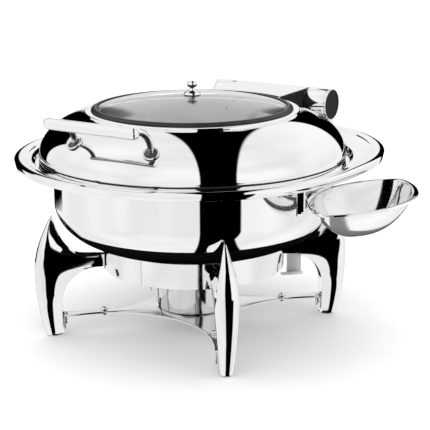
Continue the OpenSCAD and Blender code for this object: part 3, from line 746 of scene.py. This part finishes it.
def water_pan():
    centre = (BOWL_R - BOWL_CORNER[0], BOWL_BOTTOM + BOWL_CORNER[1])
    inner = (BOWL_CORNER[0] - SHEET, BOWL_CORNER[1] - SHEET)
    outside = [(0, BOWL_BOTTOM), (50, BOWL_BOTTOM)] + arc(centre, BOWL_CORNER, -90, 0, 40)
    outside += [(BOWL_R, (BOWL_BOTTOM + BOWL_CORNER[1] + LEDGE_Z) / 2)]
    under = rounded([(BOWL_R, LEDGE_Z - 12), (BOWL_R, LEDGE_Z - SHEET, 1.5),
                     (GUTTER_R + 1, LEDGE_Z - SHEET, 2), (GUTTER_R + 6, LAND_Z - SHEET, 2),
                     (LAND_R - 3, LAND_Z - SHEET)], 1.5)
    bead_top = LAND_Z + 4
    skirt = LAND_Z - 8.6
    rim_under = [(LAND_R + 0.6, LAND_Z - SHEET)] + curve(
        (LAND_R + 0.8, LAND_Z - SHEET), (LAND_R + 5, bead_top - 2.2), (RIM_R - 3.5, bead_top - 1.2),
        (RIM_R - SHEET, LAND_Z - 0.5), 14)
    rim_edge = rounded([(RIM_R - SHEET, LAND_Z - 0.5), (RIM_R - 2 - SHEET, skirt), (RIM_R - 2, skirt),
                        (RIM_R, LAND_Z + 0.5)], 0.6, steps=3)
    bead = curve((RIM_R, LAND_Z + 0.5), (RIM_R - 2, bead_top + 0.5), (LAND_R + 4, bead_top - 0.5),
                 (LAND_R, LAND_Z), 20)
    land = rounded([(LAND_R - 2, LAND_Z), (GUTTER_R + 5, LAND_Z, 1.2), (GUTTER_R, LEDGE_Z, 1.5),
                    (BOWL_R - SHEET, LEDGE_Z, 1.2), (BOWL_R - SHEET, LEDGE_Z - 12)], 1.2)
    inside = arc(centre, inner, 0, -90, 40) + [(50, BOWL_BOTTOM + SHEET), (0, BOWL_BOTTOM + SHEET)]
    rings = []
    for points, stadium in ((outside, False), (under, False), (rim_under, True), (rim_edge[1:], True),
                            (bead[1:], True), (land, False), (inside, False)):
        for r, z in points:
            rings.append([(0, 0, z)] if r < 1e-6 else pan_ring(r, z, stadium))
    piece("water_pan_shell", loft(rings, caps=False), POLISHED, "water_pan", sharp=50)


def food_pan():
    low, high = box("food_pan")
    wall_r, floor = BOWL_R - SHEET - 3, low.z
    thickness = 1.2
    corner = (24, 20)
    centre = (wall_r - corner[0], floor + corner[1])
    rim_z = LID_BASE
    lip = rounded([(wall_r, rim_z - 3), (wall_r, rim_z, 1.5), (high.x, rim_z), (high.x, rim_z + 1.3),
                   (wall_r - thickness, rim_z + 1.2, 2), (wall_r - thickness, rim_z - 3)], 0.6)
    profile = [(0, floor), (60, floor)] + arc(centre, corner, -90, 0, 12) + lip
    profile += arc(centre, (corner[0] - thickness, corner[1] - thickness), 0, -90, 12)
    profile += [(60, floor + thickness), (0, floor + thickness)]
    piece("food_pan_shell", turned(profile, 192), PAN, "food_pan")


# ---- lid ----

def lid():
    """The dome with its window, the bezel, the seal and the glass."""
    edge_angle = math.degrees(math.acos((WINDOW_R - DOME_FLAT_R) / DOME_W))
    inner_w, inner_h = DOME_W - SHEET, DOME_H - SHEET
    inner_angle = math.degrees(math.acos((WINDOW_R + SHEET - DOME_FLAT_R) / inner_w))
    # between these heights the lid's skirt is painted black: a painted shadow line where the lid sits in the
    # pan
    shadow_line_low, shadow_line_high = LAND_Z - 0.6, SKIRT_TOP - 0.9
    foot = rounded([(LID_R - SHEET, SKIRT_TOP), (LID_R - SHEET, LID_BASE, 0.6), (LID_R, LID_BASE, 0.6),
                    (LID_R, shadow_line_low, 0), (LID_R, shadow_line_high, 0), (LID_R, SKIRT_TOP)], 0.6)
    outer = arc((DOME_FLAT_R, SKIRT_TOP), (DOME_W, DOME_H), 0, edge_angle, 64)[1:]
    seat = [(WINDOW_R, SEAT_Z), (WINDOW_R - 12, SEAT_Z), (WINDOW_R - 12, SEAT_Z - SHEET),
            (WINDOW_R + SHEET, SEAT_Z - SHEET)]
    inner = arc((DOME_FLAT_R, SKIRT_TOP), (inner_w, inner_h), inner_angle, 0, 64)[:-1]
    shell = piece("lid_shell", turned(foot + outer + seat + inner, 256), POLISHED, "lid_dome")
    refinish(shell, INSIDE, lambda c, n: n.z < -0.05 or n.x * c.x + n.y * c.y < -0.05 * LID_R)
    # painted shadow line: the band round the lid's foot takes the seal's black
    refinish(shell, SEAL_AND_SHADE, lambda c, n: shadow_line_low < c.z < shadow_line_high and math.hypot(c.x, c.y) > LID_R - 0.7)

    bezel = rounded([(BEZEL_R, dome_z(BEZEL_R) + 0.03), (BEZEL_R, BEZEL_TOP - 0.6, 1.3),
                     (BEZEL_R - 6.5, BEZEL_TOP, 1.0), (WINDOW_R - 1.2, BEZEL_TOP, 0.3),
                     (WINDOW_R - 1.2, BEZEL_TOP - 0.9, 0.3), (WINDOW_R + 0.4, BEZEL_TOP - 1.6),
                     (WINDOW_R + 0.4, dome_z(WINDOW_R + 0.4) + 0.03)], 0.4, steps=5)
    piece("bezel_ring", turned(bezel, 256), POLISHED, "window_bezel")

    lip_r = 133.0
    seal = [(GLASS_R + 0.02, glass_z(GLASS_R) + 0.02)]
    seal += [(lip_r + 5 * t, glass_z(lip_r + 5 * t) + 0.05) for t in (1, 0.5, 0)]
    seal += rounded([(lip_r, glass_z(lip_r) + 0.05), (lip_r + 0.1, glass_z(lip_r) + 1.3, 0.8),
                     (lip_r + 4.2, BEZEL_TOP + 4.2, 1.5), (lip_r + 5.2, BEZEL_TOP + 3, 0.5),
                     (WINDOW_R - 1.4, BEZEL_TOP + 1.5, 0.6), (WINDOW_R - 1.4, BEZEL_TOP - 1.1),
                     (WINDOW_R + 0.2, BEZEL_TOP - 1.8), (WINDOW_R + 0.2, SEAT_Z + 3)], 0.3, steps=4)[1:]
    seal += [(WINDOW_R - 0.05, SEAT_Z + 0.5), (WINDOW_R - 11.5, SEAT_Z + 0.1),
             (WINDOW_R - 11.5, glass_z(WINDOW_R - 11.5) - GLASS_T - 0.02),
             (GLASS_R + 0.02, glass_z(GLASS_R) - GLASS_T - 0.02)]
    piece("glass_seal", turned(seal, 256), SEAL_AND_SHADE, "window_gasket")

    top = [(GLASS_R * i / 40, glass_z(GLASS_R * i / 40)) for i in range(41)]
    under = [(r, z - GLASS_T) for r, z in reversed(top)]
    piece("domed_glass", turned(top + under, 192), GLASS, "window_glass", sharp=60)


def knob():
    base = [(0, 0.1)] + rounded([(11.2, 0.1), (12, 0.6, 0.4), (11.6, 2.2, 0.8)], 0.4)
    base += curve((11.2, 2.6), (8.5, 4.6), (5, 4.8), (4.2, 8), 10) + [(4.2, 9.5), (0, 9.5)]
    piece("knob_flange", moved(turned(base, 96), at(0, 0, KNOB_Z)), HANDLE, "knob_base")
    low, high = box("knob_ball")
    ball = arc((0, high.z - 5.2), (high.x, 5.2), -76, 90, 24)
    stem = [(0, low.z), (2.1, low.z), (2.5, low.z + 0.5), (2.5, KNOB_Z + 9)]
    piece("knob_top", turned(stem + ball[:-1] + [(0, high.z)], 96), HANDLE, "knob_ball")
    finish_node("knob_washer", SEAL_AND_SHADE)
    finish_node("knob_nut", FASTENER)


# ---- hinge ----

def knuckle():
    """One fixed knuckle, for the right side: a round head on a post with a foot, cut from one bar."""
    length = 34.0
    inner = BARREL_HALF + 0.5
    foot_front, foot_back = 218.6, 249.5
    half_post = 12.0
    join = math.degrees(math.asin(half_post / BARREL_R))
    head = arc((HINGE_Y, HINGE_Z), (BARREL_R, BARREL_R), 270 + join, 630 - join, 56)
    base = LAND_Z + 0.02
    foot_top, head_low = base + 5.0, HINGE_Z - BARREL_R
    outline = head + rounded([(HINGE_Y - half_post, head_low), (HINGE_Y - half_post, foot_top, 2.5),
                              (foot_front, foot_top, 0.8), (foot_front, base), (foot_back, base),
                              (foot_back, foot_top, 0.8), (HINGE_Y + half_post, foot_top, 2.5),
                              (HINGE_Y + half_post, head_low)], 0.0)[1:-1]
    return moved(prism(outline, inner, inner + length, 0.8, steps=3), SIDE_ON)


def saddle():
    """The lid's hinge arm: a plate from the bezel to the barrel, with cheeks that go down to the dome."""
    half, sheet, edge = BARREL_HALF, 3.0, 1.2
    front_r, front_z = BEZEL_R + 0.3, BEZEL_TOP + 1.7
    back_z = HINGE_Z + BARREL_R - 0.05
    across, along = 40, 26

    def top_point(x, t):
        front_y = math.sqrt(front_r**2 - x * x)
        return (x, front_y + (HINGE_Y - front_y) * t, front_z + (back_z - front_z) * min(1, t * 1.02))

    rings = []
    for j in range(along + 1):
        top = [top_point(-half + 2 * half * i / across, j / along) for i in range(across + 1)]
        y, z = top[0][1:]
        r = math.hypot(half, y)
        low = dome_z(r) + 0.35 if r < LID_R - 14 else HINGE_Z - 14.0
        if abs(y - HINGE_Y) < BARREL_R + 0.2:
            low = max(low, HINGE_Z + math.sqrt(max((BARREL_R + 0.05) ** 2 - (y - HINGE_Y) ** 2, 0)))
        low = min(low, z - 0.4)
        cheek = [(half - edge * 0.3, y, z - edge * 0.3), (half, y, z - edge), (half, y, low),
                 (half - sheet, y, low), (half - sheet, y, max(z - sheet, low))]
        under = [(x, y, max(z - sheet, low)) for x, y, z in reversed(top) if abs(x) < half - sheet]
        rings.append([(edge - half, y, z)] + top[1:-1] + [(half - edge, y, z)] + cheek + under
                     + [(-x, y, z) for x, y, z in reversed(cheek)])
    return loft(rings)


def on_hinge(profile):
    """A body turned on the hinge's axis."""
    return moved(turned(profile, 128), at(0, HINGE_Y, HINGE_Z) @ ALONG_X)


def hinge():
    for side, matrix in SIDES.items():
        piece("hinge_knuckle_" + side, moved(knuckle(), matrix), POLISHED, "hinge_bracket_" + side)
    bore = BARREL_R - 4
    barrel = rounded([(bore, -BARREL_HALF), (BARREL_R, -BARREL_HALF, 0.8), (BARREL_R, BARREL_HALF, 0.8),
                      (bore, BARREL_HALF)], 0.0, closed=True)
    piece("barrel_tube", on_hinge(barrel), POLISHED, "hinge_barrel")
    end = box("hinge_end_rings")[1].x
    start = end - 3
    disc_r = BARREL_R - 1.6
    collar = rounded([(disc_r, start), (BARREL_R, start, 0.3), (BARREL_R, end, 0.7), (disc_r, end, 0.3)], 0.3,
                     closed=True)
    piece("end_collars", both_sides(on_hinge(collar)), POLISHED, "hinge_end_rings")
    face = box("hinge_end_discs")[1].x
    disc = [(0, start + 0.02), (disc_r - 0.05, start + 0.02), (disc_r - 0.05, face - 0.5)]
    disc += [(disc_r - 0.5, face), (disc_r - 3.2, face), (disc_r - 3.8, face - 0.4), (0, face - 0.4)]
    piece("end_caps", both_sides(on_hinge(disc)), DARK, "hinge_end_discs")
    cheeks = piece("lid_saddle", saddle(), POLISHED, "hinge_arm")
    # the cheeks' outer sides take the dark plastic as a painted dark reflection; they are steel like the rest
    # of the saddle
    refinish(cheeks, DARK, lambda c, n: abs(n.x) > 0.9 and abs(c.x) > BARREL_HALF - 0.5)
    for name, material in (("hinge_shaft", PLAIN), ("hinge_bushes", BRASS), ("lid_damper", PLAIN),
                           ("hinge_arm_bolts", FASTENER), ("hinge_bracket_bolts", FASTENER),
                           ("hinge_backing_plate", PLAIN)):
        finish_node(name, material)


# ---- handle ----

POST_X = 61.0
POST_BEND = 33.0
BOSS_Y = -187.0
BOSS_R = math.hypot(POST_X, BOSS_Y)
BOSS_Z = dome_z(BOSS_R)


def boss_matrix():
    """Sits on the dome at the post's foot, with Z along the dome's normal."""
    s = (BOSS_R - DOME_FLAT_R) / DOME_W
    normal_r, normal_z = s / DOME_W, math.sqrt(1 - s * s) / DOME_H
    tilt = math.degrees(math.atan2(normal_r, normal_z))
    return at(POST_X, BOSS_Y, BOSS_Z) @ turn(math.degrees(math.atan2(BOSS_Y, POST_X))) @ turn(tilt, "Y")


def post_shape():
    """A curved post that grows from its foot to the grip."""
    sides = 32
    centre_y = BOSS_Y - POST_BEND
    path = arc((centre_y, BOSS_Z), (POST_BEND, POST_BEND), -6, 90, 28)
    path += [(centre_y - 1.5 * k, BOSS_Z + POST_BEND) for k in range(1, 7)]
    rings = []
    for i, (y, z) in enumerate(path):
        a = Vector(path[max(i - 1, 0)])
        b = Vector(path[min(i + 1, len(path) - 1)])
        t = (b - a).normalized()
        r = 3.8 + 1.2 * i / (len(path) - 1)
        ring = []
        for k in range(sides):
            c = 2 * math.pi * k / sides
            ring.append((POST_X + r * math.cos(c), y - t.y * r * math.sin(c), z + t.x * r * math.sin(c)))
        rings.append(ring)
    return loft(rings)


def handle():
    quarter = arc((GRIP_HALF - GRIP_R, 0), (GRIP_R, GRIP_R), 90, 0, 14)
    ends = [(r, x) for x, r in quarter]
    profile = [(0, -GRIP_HALF)] + [(r, -x) for r, x in reversed(ends)][1:] + ends[:-1] + [(0, GRIP_HALF)]
    piece("grip_bar", moved(turned(profile, 64), at(0, GRIP_Y, GRIP_Z) @ ALONG_X), GRIP, "handle_grip")
    for side, matrix in SIDES.items():
        piece("post_" + side, moved(post_shape(), matrix), HANDLE, "handle_post_" + side)
    boss = [(0, -0.8), (10.6, -1.0)] + rounded([(11, -0.6), (11, 1.6, 0.8), (9.4, 2.9, 0.8), (8.2, 1.5, 0.6),
                                                (6.4, 1.5, 0.6), (5.9, 3.0, 0.5), (4, 3.4)], 0.5) + [(0, 3.4)]
    cups = piece("cup_bosses", both_sides(moved(turned(boss, 64), boss_matrix())), HANDLE, "handle_bosses")
    middle = Vector((POST_X, BOSS_Y, BOSS_Z))
    # the hollow of each cup is painted dark, as painted shade
    refinish(cups, RECESS_SHADE, lambda c, n: (Vector((abs(c.x), c.y, c.z)) - middle).length < 8.7)
    finish_node("handle_screws", FASTENER)


# ---- spoon rest ----

def spoon_rest():
    low, high = box("spoon_rest")
    lip, sheet = 8.0, 1.2
    middle_x = (low.x + high.x) / 2
    half_w, half_l = (high.x - low.x) / 2 - lip, (high.y - low.y) / 2 - lip
    rim_z = high.z
    depth = rim_z - low.z
    screw_z = 210.0
    around, steps = 144, 22

    def ring(s, drop, grow):
        """The outline, pointed at both ends, scaled by s, lowered by drop and grown outward."""
        points = []
        for i in range(around):
            t = 2 * math.pi * i / around
            x = math.copysign(abs(math.sin(t)) ** 1.5, math.sin(t)) * (half_w + grow) * s
            points.append((middle_x + x, math.cos(t) * (half_l + grow) * s, rim_z - drop))
        return points

    def sink(s):
        return depth * (1 - s**2.2) ** 0.7

    shares = [math.sin(math.radians(90 * k / steps)) for k in range(1, steps + 1)]
    rings = [[(middle_x, 0, rim_z - depth + sheet)]]
    rings += [ring(s, max(sink(s) - sheet * (1 - s), 0.9 * s**8), -sheet) for s in shares]
    rings += [ring(1, 0.15, 0.6), ring(1, 0.1, 1.5), ring(1, 0.7, lip - 1.2), ring(1, 1.2, lip - 0.3)]
    rings += [ring(1, 1.8, lip), ring(1, 2.4, lip - 0.4), ring(1, 2.3, lip - 1.2), ring(1, 1.7, 1.8)]
    rings += [ring(s, sink(s) + 2.0 * s**12, 0) for s in reversed(shares)]
    rings += [[(middle_x, 0, rim_z - depth)]]
    bowl = piece("spoon_bowl", loft(rings, caps=False), SATIN, "spoon_rest", sharp=50)
    refinish(bowl, REST, lambda c, n: n.z > 0.05 and abs(c.x - middle_x) < half_w and abs(c.y) < half_l)

    # Two strips of sheet, each with a leg against the pan or the bowl and a flat top
    for name, node, thickness, setback, play in (("rest_bracket", "spoon_bracket", 2.6, 1.5, 1.0),
                                                 ("rest_arm", "spoon_rest_arm", 2.0, 1.0, 0.0)):
        low, high = box(node)
        x, top = low.x + setback, high.z - 1
        strip = bent_strip([(x, low.z), (x, top), (high.x, top)], thickness, high.y - low.y - play, bend=1.2)
        piece(name, moved(strip, UPRIGHT), POLISHED, node)
    arm_low = box("spoon_rest_arm")[0]
    screw = moved(cap_screw(2, 3.5, 2, 5), at(arm_low.x + 2, 0, screw_z) @ turn(180) @ ALONG_X)
    screws = merged([moved(screw, at(0, s * 12, 0)) for s in (-1, 1)])
    piece("rest_screws", screws, FASTENER, "spoon_rest_screws")
    finish_node("spoon_bracket_bolts", FASTENER)


# ---- studio ----

CAMERA_TARGET = Vector((0.02425, 0.02001, 0.16316))
CAMERA_DISTANCE = 1.7919
CAMERA_AZIMUTH = 32.46       # from -Y towards +X
CAMERA_ELEVATION = 15.02
CAMERA_ROLL = -0.28
CAMERA_LENS = 104.245
STUDIO_AZIMUTH = 33.5        # the direction that the studio is built around
WHITE = 0.98                 # brightness of the softboxes in the chrome
CARD_R = 188.0               # radius of the black card under the bowl
FLOOR_LIGHT = 1.7            # brightness of the room as the floor sees it
INSIDE_LIGHT = 38.0          # brightness of the room as the inside sees it through the glass


def direction_to(azimuth, elevation):
    """A unit vector, from angles in degrees."""
    a, e = math.radians(azimuth), math.radians(elevation)
    return Vector((math.sin(a) * math.cos(e), -math.cos(a) * math.cos(e), math.sin(e)))


def camera():
    out = direction_to(CAMERA_AZIMUTH, CAMERA_ELEVATION)
    data = bpy.data.cameras.new("camera")
    data.lens = CAMERA_LENS
    data.sensor_width = 36.0
    obj = placed("camera", data)
    facing = out.to_track_quat("Z", "Y").to_matrix().to_4x4()
    obj.matrix_world = Matrix.Translation(CAMERA_TARGET + out * CAMERA_DISTANCE) @ facing @ turn(CAMERA_ROLL)
    bpy.context.scene.camera = obj


def studio_world():
    """White all round for the camera, and light from all round for everything that isn't a reflection.
    The chrome sees a studio: a white wall on its left with dark panels in it, a black gap, and one large
    oval softbox on its right."""
    world = bpy.data.worlds.new("studio")
    bpy.context.scene.world = world
    world.use_nodes = True
    world.cycles.sampling_method = "NONE"
    tree = world.node_tree
    direction = add(tree, "ShaderNodeTexCoord", {}).outputs["Generated"]

    def maths(operation, *inputs):
        node = add(tree, "ShaderNodeMath", dict(enumerate(inputs)))
        node.operation = operation
        return node.outputs[0]

    def along(azimuth, elevation=0.0):
        """The ray direction's component along an axis, azimuths counted from the studio's."""
        axis = direction_to(azimuth + STUDIO_AZIMUTH, elevation)
        node = add(tree, "ShaderNodeVectorMath", {0: direction, 1: axis})
        node.operation = "DOT_PRODUCT"
        return node.outputs["Value"]

    def step(x, softness):
        """0 below zero, 1 above it, over a soft edge."""
        node = add(tree, "ShaderNodeMapRange", {"Value": x, "From Min": -softness, "From Max": softness})
        node.interpolation_type = "SMOOTHSTEP"
        return node.outputs["Result"]

    def squared(x):
        return maths("MULTIPLY", x, x)

    def oval(azimuth, centre, half, softness=0.012):
        """A flat oval facing that azimuth: centre and half sizes are tangents seen from the object."""
        ahead, side, up = along(azimuth), along(azimuth - 90), along(0, 90)
        a = maths("DIVIDE", maths("SUBTRACT", side, maths("MULTIPLY", ahead, centre[0])), half[0])
        b = maths("DIVIDE", maths("SUBTRACT", up, maths("MULTIPLY", ahead, centre[1])), half[1])
        size = maths("SQRT", maths("ADD", squared(a), squared(b)))
        return step(maths("SUBTRACT", ahead, size), softness)

    def panel(azimuth, low, high, softness=0.015):
        """A flat rectangle facing that azimuth, between two corners given as tangents."""
        ahead, side, up = along(azimuth), along(azimuth - 90), along(0, 90)
        inside = step(ahead, softness)
        for part, start, end in ((side, low[0], high[0]), (up, low[1], high[1])):
            after = step(maths("SUBTRACT", part, maths("MULTIPLY", ahead, start)), softness)
            before = step(maths("SUBTRACT", maths("MULTIPLY", ahead, end), part), softness)
            inside = maths("MULTIPLY", inside, maths("MULTIPLY", after, before))
        return inside

    def without(light, dark):
        return maths("MULTIPLY", light, maths("SUBTRACT", 1.0, dark))

    def choice(share, otherwise, chosen):
        return maths("ADD", without(otherwise, share), maths("MULTIPLY", share, chosen))

    wall = step(along(-85), 0.008)                    # everything left of the plane at +5 degrees
    for dark in (panel(-150, (-0.27, -0.27), (0.39, 0.54)), panel(-169, (-0.2, -1.4), (0.2, -0.25))):
        wall = without(wall, dark)
    softbox = oval(100, (-0.35, 0.04), (2.92, 2.78))
    for dark in (oval(168, (0.0, 0.02), (0.43, 0.4)), panel(33, (-0.1, -0.9), (0.1, -0.12))):
        softbox = without(softbox, dark)
    backdrop = panel(182, (-0.09, -0.25), (0.2, 0.78))
    table = oval(180, (0.06, -1.5), (0.58, 1.4))
    lit = without(maths("MAXIMUM", maths("MAXIMUM", wall, softbox), backdrop), table)
    clouds = add(tree, "ShaderNodeTexNoise", {"Vector": direction, "Scale": 1.6, "Detail": 1.0})
    studio = maths("MULTIPLY", lit, spread(tree, clouds.outputs["Fac"], WHITE - 0.16, WHITE))

    path = tree.nodes.new("ShaderNodeLightPath").outputs
    through_glass = maths("GREATER_THAN", path["Transmission Depth"], 0.5)
    room = choice(path["Is Camera Ray"], choice(through_glass, FLOOR_LIGHT, INSIDE_LIGHT), 1.0)
    strength = choice(maths("GREATER_THAN", path["Glossy Depth"], 0.5), room, studio)
    background = tree.nodes["Background"]
    background.inputs["Color"].default_value = (1, 1, 1, 1)
    tree.links.new(strength, background.inputs["Strength"])


def floor():
    """A pale floor that the chrome doesn't mirror."""
    half = 30.0
    corners = [(-half, -half, 0), (half, -half, 0), (half, half, 0), (-half, half, 0)]
    mesh = bpy.data.meshes.new("floor")
    mesh.from_pydata(corners, [], [(0, 1, 2, 3)])
    obj = placed("floor", mesh, matte("pale_floor", 4.0, 0.8, 0.795))
    obj.visible_glossy = False


def under_card():
    """A round black card just under the bowl, whose bottom hangs through it. Only reflections see it: it
    darkens the bowl's lower side, as an unlit table would."""
    sides = 120
    z = (ring_high.z + 0.5) * MM
    rim = [(x, y, z) for x, y in arc((0, 0), (CARD_R * MM, CARD_R * MM), 0, 360, sides)[:-1]]
    mesh = bpy.data.meshes.new("under_card")
    mesh.from_pydata([(0, 0, z)] + rim, [], [(0, 1 + i, 1 + (i + 1) % sides) for i in range(sides)])
    obj = placed("under_card", mesh, matte("black_card", 30.0, 0.012, 0.008))
    obj.visible_camera = False
    obj.visible_diffuse = False
    obj.visible_shadow = False
    obj.visible_transmission = False


for build in (stand, shelf, hanging_bracket, burner, water_pan, food_pan, lid, knob, hinge, handle,
              spoon_rest, camera, studio_world, floor, under_card):
    build()
bpy.context.scene.view_settings.view_transform = "Standard"
